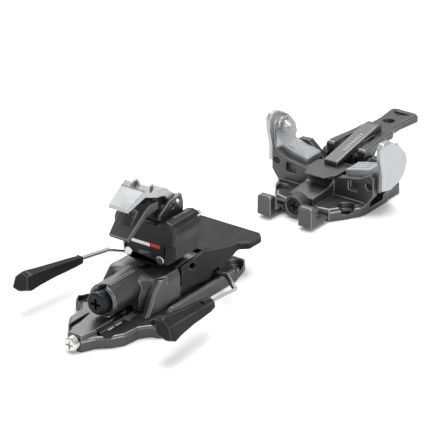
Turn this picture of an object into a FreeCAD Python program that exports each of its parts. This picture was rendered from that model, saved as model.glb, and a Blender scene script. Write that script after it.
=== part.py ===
import FreeCAD, Part
import Sketcher
import math
import os
import re

# Touring binding: a sliding heel unit with a turning turret, two climbing flaps
# and a ski brake, and a toe unit with two pivoting wings and a lever.
# Frame: +Y towards the ski tip, +X to the right, +Z up.  Z = 0 is the ski's top,
# and the origin lies on it midway between the heel's two rear bolts.  Millimetres.

V = FreeCAD.Vector

SIZES = {
    # heel base plate
    "base_rear": -70, "base_front": 56, "base_thick": 6.5, "base_half": 20,
    "base_tip_half": 15.5, "base_tip_run": 15, "nose_half": 4.5, "waist_half": 17.7,
    "waist_back": 19, "ear_x": 23.5, "ear_y": -30, "ear_reach": 6, "ear_waist": 13,
    "plateau_top": 9, "plateau_half": 9.5, "plateau_front": -44,
    "slot_x": 10.6, "slot_wide": 3, "slot_long": 19, "scale_x": 9.4, "scale_wide": 8,
    "scale_deep": 1, "channel_half": 9, "channel_rear": -36, "channel_front": 44,
    "lip_half": 12.5, "lip_deep": 3.2, "rib_high": 1.4, "rib_wide": 2.2,
    "bolt_r": 2.7, "bolt_head_r": 4.6, "bolt_seat": 3.2, "front_bolt_x": 14.5, "front_bolt_y": 48.5,
    # length screw
    "screw_z": 4.5, "screw_r": 2.5, "screw_head_r": 4, "screw_head": 3.4, "ring_r": 3.9, "ring_thick": 1,
    # clearances
    "run": 0.06, "slide_gap": 0.2, "gap": 0.4,
    # carriage
    "deck_top": 24, "deck_half": 17, "deck_rear": -19, "deck_front": -3.4, "deck_neck": 14.4,
    "tongue_rear": -20, "tongue_front": 12, "block_front": 36, "block_top": 13, "neck_front": 16,
    "barrel_r": 8.7, "barrel_z": 18.4, "barrel_rear": -47, "buttress_rear": -27,
    "spring_bore_r": 6.2, "bore_front": -7.6, "notch_r": 2.2, "fin_rake": 5, "fin_thick": 4,
    "spindle_r": 5, "spindle_top": 36, "spindle_foot": 12, "bush_r": 6.6,
    "cap_r": 6.1, "cap_long": 9, "cap_out": 5, "plunger_long": 6, "wire_coil": 1.7,
    # brake
    "pedal_y": 7.8, "pedal_z": 21.3, "pedal_pin_r": 1.5, "pedal_half": 17, "pedal_wall": 2,
    "recess_long": 4.2, "recess_high": 1.9, "recess_fall": 20, "recess_deep": 1,
    "pedal_skin": 2.6, "panel_half": 22, "panel_rear": 47, "panel_front": 64, "panel_low": 15.6,
    "panel_top": 19.6, "wire_r": 1.4, "wire_y": 28, "wire_z": 9.6, "wire_in": 6,
    "wire_knee_x": 23.5, "wire_elbow_x": 41, "wire_elbow_y": 11.5, "wire_elbow_z": 13,
    "wire_bend": 4, "shoe_x": 42.5, "shoe_y": -11.5, "shoe_z": 15.9,
    "shoe_tip_x": 46, "shoe_tip_y": -56, "shoe_tip_z": 19.2, "shoe_grip": 16,
    # turret
    "turret_rear": -11.4, "turret_front": 12, "plate_thick": 2.2, "turret_low": 24.6,
    "turret_top": 49.4, "shoulder_x": 13.8, "shoulder_z": 46.2, "shoulder_r": 6,
    "flank_half": 18.4, "flank_low": 39.2, "foot_half": 17.2, "foot_bevel": 4.4, "foot_step": 38.6,
    "foot_low": 30.5,
    "stud_x": 10, "stud_z": 30, "stud_r": 2.4, "jaw_rear": 5.6, "jaw_thick": 3.6,
    "jaw_half": 3.6, "jaw_head": 2.9, "pin_x": 13.5, "pin_z": 47, "pin_r": 2.4, "pin_relief": 0.2,
    "pin_tip": 17.4, "pin_swing": 2.6,
    "tie_z": 39, "tie_r": 0.8, "tie_play": 0.5, "tie_head_r": 2, "tie_spring_half": 8, "window_half": 4,
    "window_low": 28, "window_high": 32.6,
    # climbing flaps
    "hinge_y": 7, "hinge_z": 56.1, "hinge_r": 1.5, "lug_r": 3.3, "bracket_half": 8,
    "bracket_rear": -8, "bracket_top": 58.6, "bracket_floor": 1, "bracket_slot": 6.1,
    "flap_half": 7.6, "flap_rear_half": 5.8, "flap_neck": 5.9, "lower_neck": 2.8, "knuckle_in": 2.4,
    "knuckle_y": -14.6, "knuckle_z": 70.2, "knuckle_hole_r": 1.5, "flap_end": -33,
    # toe unit, drawn about the toe pins' axis, which lies toe_at ahead of the turret's
    "toe_rear": -32.4, "toe_front": 29, "toe_thick": 7, "toe_half": 28.5, "toe_waist": 29.4,
    "wall_rear": -12,
    "wall_thick": 4.2, "wing_deep": 13.4, "wall_half": 33.8, "toe_bolt_x": 21.9, "toe_bolt_y": -20.6,
    "toe_front_bolt_x": 19.5, "toe_front_bolt_y": 22,
    "wing_x": 30.8, "wing_z": 17.3, "wing_pin_r": 1.9, "wing_end": 12.5,
    "skin_in": 35.2, "skin_out": 38.8, "toe_at": 162, "toe_pin_z": 34.1, "toe_tip": 29.6,
    "toe_pin_r": 2.9, "toe_spring_r": 3.1, "toe_spring_z": 10.8,
    "lever_y": 16, "lever_z": 16.6, "lever_pin_r": 1.8, "lever_hub": 12, "lever_tip": 73.5,
    "lever_low": 21.6, "lever_thick": 4.4, "lever_hole_y": 55, "lever_hole_r": 3.3,
    "bar_half": 4.4, "rocker_half": 10.4,
    # crampon receiver
    "hook_x": 13.6, "hook_back": 16.1, "hook_long": 5, "hook_half": 4.4, "hook_top": 13.6,
    "hook_low": 3.4, "arm_low": 2, "arm_high": 7.6, "receiver_in": 1, "web_deep": 4, "receiver_z": 7.4,
    "receiver_r": 6.4, "receiver_screw_r": 4.8,
    # edge breaks
    "break_small": 0.5, "break_edge": 0.9, "break_big": 1.6,
}

doc = FreeCAD.newDocument("TouringBinding")
sheet = doc.addObject("Spreadsheet::Sheet", "Sizes")
for row, (alias, value) in enumerate(SIZES.items(), start=1):
    sheet.set(f"A{row}", alias)
    sheet.set(f"B{row}", str(value))
    sheet.setAlias(f"B{row}", alias)
doc.recompute()

NODES = []
PLANES = {"top": "XY_Plane", "side": "YZ_Plane", "front": "XZ_Plane"}
TURNS = {
    "z": FreeCAD.Rotation(),
    "x": FreeCAD.Rotation(V(0, 1, 0), 90),
    "y": FreeCAD.Rotation(V(1, 0, 0), -90),
}


def bind(target, prop, text):
    """Bind a property to an expression in which each word is a size of the sheet."""
    target.setExpression(prop, re.sub(r"\b([a-z][a-z_0-9]*)\b(?!\()", r"Sizes.\1", str(text)))


def size(alias):
    return float(sheet.get(alias))


def new_body(label):
    body = doc.addObject("PartDesign::Body", label)
    body.Label = label
    NODES.append(body)
    return body


def solid(body, kind, at, axis="z", tilt=None, **sizes):
    """Add or take away a PartDesign primitive placed by expressions."""
    item = body.newObject("PartDesign::" + kind, kind)
    for prop, text in sizes.items():
        bind(item, prop, text)
    rotation = TURNS[axis]
    if tilt:
        rotation = FreeCAD.Rotation(V(*tilt[:3]), tilt[3]).multiply(rotation)
    item.Placement = FreeCAD.Placement(V(), rotation)
    for letter, text in zip("xyz", at):
        bind(item, f"Placement.Base.{letter}", text)
    return item


def box(body, low, high, cut=False):
    """Box between two corners given as expressions."""
    spans = [f"({b})-({a})" for a, b in zip(low, high)]
    kind = "SubtractiveBox" if cut else "AdditiveBox"
    return solid(body, kind, low, Length=spans[0], Width=spans[1], Height=spans[2])


def rod(body, at, axis, radius, length, cut=False):
    """Round bar from a point along +x, +y or +z."""
    kind = "SubtractiveCylinder" if cut else "AdditiveCylinder"
    return solid(body, kind, at, axis, Radius=radius, Height=length)


def cone(body, at, axis, first, last, length, cut=False):
    kind = "SubtractiveCone" if cut else "AdditiveCone"
    return solid(body, kind, at, axis, Radius1=first, Radius2=last, Height=length)


def outline(body, plane, points, offset="0"):
    """Closed sketch whose corners are tied to the sheet; offset is along the plane's normal axis."""
    sketch = body.newObject("Sketcher::SketchObject", "Outline")
    origin = next(f for f in body.Origin.OriginFeatures if f.Role == PLANES[plane])
    sketch.AttachmentSupport = [(origin, "")]
    sketch.MapMode = "FlatFace"
    bind(sketch, "AttachmentOffset.Base.z", f"-({offset})" if plane == "front" else offset)
    corners = [V(evaluate(a), evaluate(b), 0) for a, b in points]
    count = len(corners)
    for index, corner in enumerate(corners):
        sketch.addGeometry(Part.LineSegment(corner, corners[(index + 1) % count]), False)
    for index in range(count):
        sketch.addConstraint(Sketcher.Constraint("Coincident", index, 2, (index + 1) % count, 1))
    for index, (across, up) in enumerate(points):
        for kind, text, value in (("DistanceX", across, corners[index].x),
                                  ("DistanceY", up, corners[index].y)):
            number = sketch.addConstraint(Sketcher.Constraint(kind, -1, 1, index, 1, value))
            bind(sketch, f"Constraints[{number}]", text)
    return sketch


def evaluate(text):
    """Value of an expression of sheet sizes, for the sketch's first shape."""
    names = {alias: float(value) for alias, value in SIZES.items()}
    total = re.sub(r"\b([a-z][a-z_0-9]*)\b(?!\()", lambda word: repr(names[word.group(1)]), str(text))
    return arithmetic(total)


def arithmetic(text):
    """Sum, difference, product and quotient of plain numbers with brackets."""
    tokens = re.findall(r"\d+\.?\d*(?:e-?\d+)?|[-+*/()]", text)
    place = [0]

    def atom():
        token = tokens[place[0]]
        place[0] += 1
        if token == "(":
            value = total()
            place[0] += 1
            return value
        if token == "-":
            return -atom()
        if token == "+":
            return atom()
        return float(token)

    def product():
        value = atom()
        while place[0] < len(tokens) and tokens[place[0]] in "*/":
            token = tokens[place[0]]
            place[0] += 1
            other = atom()
            value = value * other if token == "*" else value / other
        return value

    def total():
        value = product()
        while place[0] < len(tokens) and tokens[place[0]] in "+-":
            token = tokens[place[0]]
            place[0] += 1
            other = product()
            value = value + other if token == "+" else value - other
        return value

    return total()


def pad(body, plane, points, start, end):
    """Prism of an outline between two places along the plane's axis."""
    sketch = outline(body, plane, points, start)
    item = body.newObject("PartDesign::Pad", "Pad")
    item.Profile = sketch
    bind(item, "Length", f"({end})-({start})")
    item.Reversed = plane == "front"
    return item


def pocket(body, plane, points, start, end):
    """Cut of an outline between two places along the plane's axis."""
    sketch = outline(body, plane, points, f"(({start})+({end}))/2")
    item = body.newObject("PartDesign::Pocket", "Pocket")
    item.Profile = sketch
    item.Midplane = True
    bind(item, "Length", f"({end})-({start})")
    return item


def loft(body, plane, sections):
    """Body through outlines with the same number of corners; each section is (place, points)."""
    sketches = [outline(body, plane, points, place) for place, points in sections]
    item = body.newObject("PartDesign::AdditiveLoft", "Loft")
    item.Profile = sketches[0]
    item.Sections = sketches[1:]
    item.Ruled = True
    return item


def both(points):
    """Right half of an outline, from rear to front, closed with its mirror image."""
    left = [(f"-({x})", y) for x, y in reversed(points) if str(x) != "0"]
    return points + left


def dress(body, kind, radius, test):
    """Chamfer or fillet the edges that the test picks."""
    doc.recompute()
    base = body.Tip
    names = [f"Edge{i}" for i, edge in enumerate(base.Shape.Edges, 1) if test(edge)]
    item = body.newObject("PartDesign::" + kind, kind)
    item.Base = (base, names)
    bind(item, "Size" if kind == "Chamfer" else "Radius", radius)
    return item


def upright(edge):
    """True for a straight edge along Z."""
    ends = edge.Vertexes
    return len(ends) == 2 and math.hypot(ends[0].X - ends[1].X, ends[0].Y - ends[1].Y) < 1e-4


def level(height, low=-1e9, high=1e9):
    """Test for edges that lie flat at one height, between two places along Y."""
    def test(edge):
        b = edge.BoundBox
        flat = abs(b.ZMin - height) < 1e-4 and abs(b.ZMax - height) < 1e-4
        return flat and b.YMin > low and b.YMax < high
    return test


def shape_node(label, shape):
    """Piece whose form is swept in code from the sheet's sizes."""
    item = doc.addObject("Part::Feature", label)
    item.Shape = shape
    item.Label = label
    NODES.append(item)
    return item


def coil(label, start, direction, length, radius, wire, turns):
    """Closed coil spring of round wire."""
    pitch = (length - wire) / turns
    helix = Part.makeHelix(pitch, length - wire, radius - wire / 2)
    profile = Part.Wire([Part.makeCircle(wire / 2, V(radius - wire / 2, 0, 0), V(0, 1, 0))])
    spring = Part.Wire(helix).makePipeShell([profile], True, True)
    item = shape_node(label, spring)
    turn = FreeCAD.Rotation(V(0, 0, 1), V(*direction))
    lift = V(*direction).normalize() * (wire / 2)
    item.Placement = FreeCAD.Placement(V(*start) + lift, turn)
    return item


# ---------------------------------------------------------------- heel base
def heel_base_plate():
    body = new_body("heel_base_plate")
    half = [
        ("nose_half", "base_rear"),
        ("waist_half*0.45", "base_rear+7.5"),
        ("waist_half*0.77", "base_rear+12.5"),
        ("waist_half", "base_rear+waist_back"),
        ("waist_half+1", "base_rear+waist_back+10"),
        ("ear_x-1", "ear_y-ear_reach"),
        ("ear_x+ear_reach*0.6", "ear_y-ear_reach*0.75"),
        ("ear_x+ear_reach", "ear_y"),
        ("ear_x+ear_reach*0.6", "ear_y+ear_reach*0.75"),
        ("base_half", "ear_y+ear_waist"),
        ("base_half", "base_front-base_tip_run"),
        ("base_tip_half", "base_front"),
    ]
    pad(body, "top", both(half), "0", "base_thick")
    dress(body, "Fillet", "break_big", upright)
    dress(body, "Chamfer", "break_edge", level(size("base_thick")))
    plateau = [("nose_half", "base_rear+0.5"), ("plateau_half", "plateau_front")]
    pad(body, "top", both(plateau), "base_thick-1", "plateau_top")
    dress(body, "Chamfer", "break_edge", level(size("plateau_top")))
    for side in (1, -1):
        # raised side ribs beside the carriage's feet
        low = ("base_half-rib_wide" if side > 0 else "-base_half", "ear_y+ear_waist+2", "base_thick-1")
        high = ("base_half" if side > 0 else "rib_wide-base_half", "base_front-base_tip_run",
                "base_thick+rib_high")
        box(body, low, high)
    dress(body, "Chamfer", "break_edge", level(size("base_thick") + size("rib_high")))
    box(body, ("-channel_half", "channel_rear", "-1"), ("channel_half", "channel_front", "plateau_top+1"),
        cut=True)
    box(body, ("-lip_half", "channel_rear", "-1"), ("lip_half", "channel_front", "lip_deep"), cut=True)
    box(body, ("-slot_x-slot_wide/2", "base_rear+8.5", "base_thick-4"),
        ("-slot_x+slot_wide/2", "base_rear+8.5+slot_long", "plateau_top+1"), cut=True)
    box(body, ("scale_x-scale_wide/2", "base_rear+11", "base_thick-scale_deep"),
        ("scale_x+scale_wide/2", "base_rear+34", "plateau_top+1"), cut=True)
    rod(body, ("0", "base_rear-1", "screw_z"), "y", "screw_r+run", "base_front-base_rear-6", cut=True)
    for side in (1, -1):
        for x, y in (("ear_x", "ear_y"), ("front_bolt_x", "front_bolt_y")):
            rod(body, (f"{side}*{x}", y, "-1"), "z", "bolt_r", "base_thick+2", cut=True)
            rod(body, (f"{side}*{x}", y, "bolt_seat"), "z", "bolt_head_r", "base_thick", cut=True)


def length_screw():
    body = new_body("length_screw")
    rod(body, ("0", "base_rear-screw_head-slide_gap", "screw_z"), "y", "screw_head_r", "screw_head")
    dress(body, "Chamfer", "break_edge", lambda e: e.BoundBox.YMax < size("base_rear") - size("screw_head"))
    rod(body, ("0", "base_rear-slide_gap-0.1", "screw_z"), "y", "screw_r", "base_front-base_rear-10")
    for length, width in (("screw_head_r*1.1", "0.9"), ("0.9", "screw_head_r*1.1")):
        box(body, (f"-({length})/2", "base_rear-screw_head-1", f"screw_z-({width})/2"),
            (f"({length})/2", "base_rear-screw_head+1.2", f"screw_z+({width})/2"), cut=True)


def screw_retaining_ring():
    body = new_body("screw_retaining_ring")
    rod(body, ("0", "channel_rear+slide_gap", "screw_z"), "y", "ring_r", "ring_thick")
    rod(body, ("0", "channel_rear-1", "screw_z"), "y", "screw_r+run", "ring_thick+3", cut=True)


# ---------------------------------------------------------------- carriage
def heel_carriage():
    body = new_body("heel_carriage")
    low = "base_thick+slide_gap"
    start = [("barrel_r-0.6", low), ("barrel_r-0.4", "barrel_z-3"),
             ("barrel_r*0.7", "barrel_z+barrel_r*0.6"),
             ("barrel_r*0.35", "barrel_z+barrel_r*0.9")]
    mid = [("deck_half-1.6", low), ("deck_half-1.8", "barrel_z-1"), ("deck_half-4", "deck_top-1"),
           ("barrel_r*0.4", "deck_top+2.2")]
    end = [("deck_half", low), ("deck_half", "barrel_z+2"), ("deck_half-1.5", "deck_top"),
           ("barrel_r*0.4", "deck_top")]
    loft(body, "front", [("buttress_rear", both(start)), ("deck_rear-1", both(mid)),
                         ("deck_rear+5", both(end))])
    pad(body, "front", both(end), "deck_rear+5", "deck_front")
    neck = [("deck_neck", low), ("deck_neck", "deck_top-1.5"), ("deck_neck-1.5", "deck_top")]
    pad(body, "front", both(neck), "deck_front", "neck_front")
    box(body, ("-deck_neck", "neck_front", low), ("deck_neck", "block_front", "block_top"))
    dress(body, "Chamfer", "break_big", level(size("block_top"), size("neck_front") + 1))
    # raked fins that brace the deck's rear corners
    fin = [("buttress_rear-fin_rake", low), ("buttress_rear-fin_rake+2", "base_thick+2"),
           ("buttress_rear+2", "barrel_z-0.4"),
           ("deck_rear-0.6", "deck_top-0.6"), ("deck_rear+6", "deck_top-0.6"), ("deck_rear+6", low)]
    for start, end in (("deck_half-0.3-fin_thick", "deck_half-0.3"),
                       ("0.3-deck_half", "0.3-deck_half+fin_thick")):
        pad(body, "side", fin, start, end)
    dress(body, "Chamfer", "break_edge", lambda e: not upright(e) and e.BoundBox.XLength < 1e-3
          and abs(abs(e.BoundBox.XMax) - size("deck_half") + 0.3) < 1e-3 and e.BoundBox.YMax < size("deck_rear"))
    rod(body, ("0", "barrel_rear", "barrel_z"), "y", "barrel_r", "deck_rear-barrel_rear")
    dress(body, "Chamfer", "break_edge", lambda e: e.BoundBox.YMax < size("barrel_rear") + 0.01)
    # tongue that runs in the base's channel, an inverted T
    box(body, ("-channel_half+slide_gap", "tongue_rear", "lip_deep-slide_gap-0.5"),
        ("channel_half-slide_gap", "tongue_front", "base_thick+2"))
    box(body, ("-lip_half+slide_gap", "tongue_rear", "0.6"),
        ("lip_half-slide_gap", "tongue_front", "lip_deep-slide_gap"))
    rod(body, ("0", "barrel_rear-1", "screw_z"), "y", "screw_r+run", "block_front-barrel_rear+2", cut=True)
    box(body, ("-ring_r-gap", "buttress_rear-1", "base_thick"),
        ("ring_r+gap", "tongue_rear-0.5", "screw_z+ring_r+gap"), cut=True)
    # open throat over the screw behind the tongue, and the barrel's bore
    rod(body, ("0", "barrel_rear-1", "barrel_z"), "y", "spring_bore_r", "bore_front-barrel_rear+1",
        cut=True)
    rod(body, ("0", "barrel_rear+1", "barrel_z"), "z", "notch_r", "barrel_r+2", cut=True)
    rod(body, ("0", "0", "spindle_foot"), "z", "spindle_r+run", "deck_top", cut=True)
    rod(body, ("-deck_half-1", "pedal_y", "pedal_z"), "x", "pedal_pin_r+run", "2*deck_half+2", cut=True)
    for side in (1, -1):
        start_x = "wire_in-1" if side > 0 else "-deck_half-1"
        rod(body, (start_x, "wire_y", "wire_z"), "x", "wire_r+run", "deck_half+2-wire_in", cut=True)


def turret_spindle():
    body = new_body("turret_spindle")
    rod(body, ("0", "0", "spindle_foot+slide_gap"), "z", "spindle_r", "spindle_top-spindle_foot-slide_gap")
    box(body, ("-spindle_r", "-spindle_r-1", "barrel_z-3"), ("spindle_r", "-spindle_r+1.2", "barrel_z+3"),
        cut=True)
    dress(body, "Chamfer", "break_small", level(size("spindle_top")))


def lateral_release():
    plunger = new_body("lateral_plunger")
    front = "bore_front-slide_gap"
    rod(plunger, ("0", f"{front}-plunger_long", "barrel_z"), "y", "spring_bore_r-0.1", "plunger_long")
    rod(plunger, ("0", f"{front}-plunger_long-4", "barrel_z"), "y", "spring_bore_r-wire_coil-1", "4.5")
    dress(plunger, "Chamfer", "break_small", lambda e: e.BoundBox.YMin > size("bore_front") - 1)
    cap = new_body("lateral_spring_cap")
    rod(cap, ("0", "barrel_rear-cap_out", "barrel_z"), "y", "cap_r", "cap_long")
    dress(cap, "Fillet", "break_big",
          lambda e: e.BoundBox.YMax < size("barrel_rear") - size("cap_out") + 0.01)
    for length, width in (("cap_r*1.0", "1.5"), ("1.5", "cap_r*1.0")):
        box(cap, (f"-({length})/2", "barrel_rear-cap_out-1", f"barrel_z-({width})/2"),
            (f"({length})/2", "barrel_rear-cap_out+2.4", f"barrel_z+({width})/2"), cut=True)
    rear = size("barrel_rear") - size("cap_out") + size("cap_long") + size("slide_gap")
    front_y = size("bore_front") - size("slide_gap") * 2 - size("plunger_long")
    coil("lateral_spring", (0, rear, size("barrel_z")), (0, 1, 0), front_y - rear,
         size("spring_bore_r") - 0.4, size("wire_coil"), 8)


# ---------------------------------------------------------------- brake
def brake_pedal():
    body = new_body("brake_pedal")
    wall = [("-2", "14"), ("-2", "24.6"), ("9", "25.4"), ("18", "26.2"), ("33", "21.9"),
            ("43", "panel_top"),
            ("panel_rear+1", "panel_top"), ("panel_rear+1", "panel_low"), ("39", "12.5"),
            ("32", "8"), ("wire_y", "7.4"), ("18", "8.4"), ("0", "12.2")]
    for side in (1, -1):
        start = "pedal_half-pedal_wall" if side > 0 else "-pedal_half"
        end = "pedal_half" if side > 0 else "pedal_wall-pedal_half"
        if side > 0:
            pad(body, "side", wall, start, end)
            skin = [("17", "26.25"), ("33", "21.9"), ("43", "panel_top"), ("panel_rear+1", "panel_top"),
                    ("panel_rear+1", "panel_top-pedal_skin"), ("42.5", "panel_top-pedal_skin"),
                    ("32.2", "21.9-pedal_skin"), ("17", "26.25-pedal_skin")]
            pad(body, "side", skin, "-pedal_half", "pedal_half")
        else:
            pad(body, "side", wall, start, end)
    panel = [("pedal_half+1", "panel_rear"), ("panel_half", "panel_rear+4"),
             ("panel_half", "panel_front-3"),
             ("panel_half-3", "panel_front")]
    pad(body, "top", both(panel), "panel_low", "panel_top")
    dress(body, "Fillet", "break_big", lambda e: upright(e) and e.BoundBox.XMax > size("panel_half") - 3.2
          or upright(e) and e.BoundBox.XMin < 3.2 - size("panel_half"))
    dress(body, "Chamfer", "break_small", level(size("panel_top"), size("panel_rear") + 2))
    rod(body, ("-pedal_half-1", "pedal_y", "pedal_z"), "x", "pedal_pin_r+run", "2*pedal_half+2", cut=True)
    # oval recess round each end of the pivot pin
    oval = []
    for step in range(12):
        across = size("recess_long") * math.cos(step * math.pi / 6)
        up = size("recess_high") * math.sin(step * math.pi / 6)
        fall = math.radians(size("recess_fall"))
        oval.append((f"pedal_y+{across * math.cos(fall) + up * math.sin(fall):.3f}",
                     f"pedal_z+{up * math.cos(fall) - across * math.sin(fall):.3f}"))
    for start, end in (("pedal_half-recess_deep", "pedal_half+1"),
                       ("-pedal_half-1", "recess_deep-pedal_half")):
        pocket(body, "side", oval, start, end)
    slot = [("wire_y-wire_r-1", "wire_z+wire_r+1"), ("wire_y+wire_r+1.4", "wire_z+wire_r+1"),
            ("wire_y+wire_r+1.4", "2"), ("16", "2")]
    pocket(body, "side", slot, "-pedal_half-1", "pedal_half+1")


def brake_pins():
    pin = new_body("pedal_pivot_pin")
    rod(pin, ("-pedal_half+recess_deep+0.1", "pedal_y", "pedal_z"), "x", "pedal_pin_r",
        "2*pedal_half-2*recess_deep-0.2")
    dress(pin, "Chamfer", "break_small", lambda e: abs(e.BoundBox.XLength) < 1e-4)
    coil("brake_spring", (0, size("wire_y") - 4, size("block_top") + 0.2), (0, 0, 1), 5.2, 3.4, 0.9, 3)


def brake_wire(name, side):
    """Round wire: pivot leg in the carriage, knee, elbow, then the leg that the shoe is moulded on."""
    points = [
        V(side * size("wire_in"), size("wire_y"), size("wire_z")),
        V(side * size("wire_knee_x"), size("wire_y"), size("wire_z")),
        V(side * size("wire_elbow_x"), size("wire_elbow_y"), size("wire_elbow_z")),
        V(side * size("shoe_x"), size("shoe_y"), size("shoe_z")),
    ]
    last = V(side * size("shoe_tip_x"), size("shoe_tip_y"), size("shoe_tip_z")) - points[-1]
    points.append(points[-1] + last.normalize() * size("shoe_grip"))
    edges = []
    here = points[0]
    for index in range(1, len(points) - 1):
        before = (points[index - 1] - points[index]).normalize()
        after = (points[index + 1] - points[index]).normalize()
        turn = math.pi - before.getAngle(after)
        back = size("wire_bend") * math.tan(turn / 2)
        enter = points[index] + before * back
        leave = points[index] + after * back
        middle = (before + after).normalize()
        centre = points[index] + middle * (size("wire_bend") / math.cos(turn / 2))
        top = centre - middle * size("wire_bend")
        edges.append(Part.LineSegment(here, enter).toShape())
        edges.append(Part.Arc(enter, top, leave).toShape())
        here = leave
    edges.append(Part.LineSegment(here, points[-1]).toShape())
    spine = Part.Wire(edges)
    ring = Part.Wire([Part.makeCircle(size("wire_r"), points[0], V(side, 0, 0))])
    shape_node(name, spine.makePipeShell([ring], True, True))


def brake_shoe(name, side):
    """Faceted paddle moulded round the wire's end."""
    body = new_body(name)
    run = "(shoe_y-shoe_tip_y)"

    def section(share, low, high, inner, outer):
        x = f"shoe_x+(shoe_tip_x-shoe_x)*{share}"
        z = f"shoe_z+(shoe_tip_z-shoe_z)*{share}"
        half = [(f"{x}-{inner}", f"{z}-{low}*0.6"), (f"{x}+{outer}*0.2", f"{z}-{low}"),
                (f"{x}+{outer}", f"{z}-{low}*0.8"), (f"{x}+{outer}*0.6", f"{z}+{high}*0.4"),
                (f"{x}-{inner}*0.2", f"{z}+{high}"), (f"{x}-{inner}", f"{z}+{high}*0.8")]
        if side < 0:
            half = [(f"-({a})", b) for a, b in half]
        return f"shoe_y-{run}*{share}", half

    flare = section(0.95, 6.4, 6.6, 6.2, 6.0)
    loft(body, "front", [section(0, 2.6, 2.6, 2.8, 2.6), section(0.12, 3.3, 3.3, 3.2, 3.4),
                         section(0.5, 4.4, 4.6, 3.8, 3.8), section(0.8, 5.4, 5.8, 5.2, 5.0), flare])
    loft(body, "front", [flare, section(1, 5.4, 5.6, 5.2, 5.0)])
    place = V(side * size("shoe_x"), size("shoe_y"), size("shoe_z"))
    along = V(side * size("shoe_tip_x"), size("shoe_tip_y"), size("shoe_tip_z")) - place
    bore = solid(body, "SubtractiveCylinder", (f"{side}*shoe_x", "shoe_y", "shoe_z"),
                 Radius="wire_r+run/2", Height="shoe_grip")
    bore.Placement = FreeCAD.Placement(bore.Placement.Base, FreeCAD.Rotation(V(0, 0, 1), along))


# ---------------------------------------------------------------- turret
def turret_outline():
    """Right half of the turret's section, from the bottom to the top."""
    half = [("0", "turret_low"), ("6.5", "turret_low+0.8"), ("10.6", "turret_low+1.9"),
            ("14", "turret_low+3.4"), ("foot_half", "foot_low"), ("foot_half", "foot_step"),
            ("flank_half", "flank_low"), ("shoulder_x+shoulder_r", "shoulder_z-1.2")]
    for degrees in (0, 30, 60, 90, 120):
        across = round(math.cos(math.radians(degrees)), 4)
        up = round(math.sin(math.radians(degrees)), 4)
        half.append((f"shoulder_x+shoulder_r*{across}", f"shoulder_z+shoulder_r*{up}"))
    half.append(("bracket_half+0.2", "turret_top"))
    return half


def turret_housing():
    body = new_body("turret_housing")
    pad(body, "front", both(turret_outline()), "turret_rear", "turret_front-plate_thick")
    dress(body, "Chamfer", "break_edge", lambda e: e.BoundBox.YMax < size("turret_rear") + 1e-3)
    for side in (1, -1):
        corner = [(f"{side}*(foot_half-foot_bevel-1)", "turret_rear-1"),
                  (f"{side}*(foot_half+3)", "turret_rear-1"),
                  (f"{side}*(foot_half+3)", "turret_rear+foot_bevel+3")]
        pocket(body, "top", corner, "turret_low-1", "foot_step")
    # jaw chamber, open to the front and closed by the plate
    chamber = [("foot_half-1.8", "stud_z-4"), ("foot_half-1.4", "foot_step"),
               ("shoulder_x+4.8", "shoulder_z-2"),
               ("shoulder_x+4.8", "shoulder_z+1"), ("shoulder_x+2.6", "shoulder_z+4"),
               ("shoulder_x-3", "shoulder_z+4"), ("shoulder_x-5.6", "shoulder_z+1.6"),
               ("shoulder_x-7.5", "tie_z+3")]
    pocket(body, "front", both(chamber), "jaw_rear-slide_gap", "turret_front")
    rod(body, ("0", "0", "turret_low-1"), "z", "bush_r+run", "spindle_top-turret_low+1.6", cut=True)
    for side in (1, -1):
        rod(body, (f"{side}*stud_x", "turret_rear-1", "stud_z"), "y", "stud_r+run",
            "turret_front-turret_rear", cut=True)
    rod(body, ("-shoulder_x-shoulder_r-1", "jaw_rear+jaw_thick/2", "tie_z"), "x", "tie_r+run",
        "shoulder_x+2", cut=True)
    rod(body, ("-shoulder_x-shoulder_r-1", "jaw_rear+jaw_thick/2", "tie_z"), "x", "tie_head_r+0.2",
        "shoulder_x+shoulder_r+2.4-flank_half+1", cut=True)
    box(body, ("-window_half", "turret_rear-1", "window_low"),
        ("window_half", "turret_rear+1.4", "window_high"), cut=True)


def turret_front_plate():
    body = new_body("turret_front_plate")
    pad(body, "front", both(turret_outline()), "turret_front-plate_thick+0.05", "turret_front")
    dress(body, "Chamfer", "break_small", lambda e: e.BoundBox.YMin > size("turret_front") - 1e-3)
    for side in (1, -1):
        rod(body, (f"{side}*stud_x", "turret_rear-1", "stud_z"), "y", "stud_r+run", "60", cut=True)
        near = "pin_x-pin_r-gap" if side > 0 else "-(pin_x+pin_r+gap+pin_swing)"
        far = "pin_x+pin_r+gap+pin_swing" if side > 0 else "-(pin_x-pin_r-gap)"
        box(body, (near, "turret_front-plate_thick-1", "pin_z-pin_r-gap-0.4"),
            (far, "turret_front+1", "pin_z+pin_r+gap"), cut=True)


def turret_inner():
    bush = new_body("turret_bush")
    rod(bush, ("0", "0", "turret_low+0.1"), "z", "bush_r", "spindle_top-turret_low")
    rod(bush, ("0", "0", "turret_low-1"), "z", "spindle_r+run", "spindle_top", cut=True)
    tie = new_body("vertical_release_screw")
    middle = "jaw_rear+jaw_thick/2"
    rod(tie, ("-flank_half+0.2", middle, "tie_z"), "x", "tie_head_r", "1.6")
    rod(tie, ("-flank_half+0.3", middle, "tie_z"), "x", "tie_r", "flank_half+tie_spring_half")
    box(tie, ("-flank_half-1", f"{middle}-tie_head_r", "tie_z-0.4"),
        ("-flank_half+0.9", f"{middle}+tie_head_r", "tie_z+0.4"), cut=True)
    y = size("jaw_rear") + size("jaw_thick") / 2
    reach = size("tie_spring_half")
    coil("vertical_release_spring", (-reach, y, size("tie_z")), (1, 0, 0), 2 * reach, 1.95, 0.9, 9)
    insert = new_body("release_window")
    box(insert, ("-window_half+0.05", "turret_rear+0.5", "window_low+0.05"),
        ("window_half-0.05", "turret_rear+1.35", "window_high-0.05"))


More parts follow.
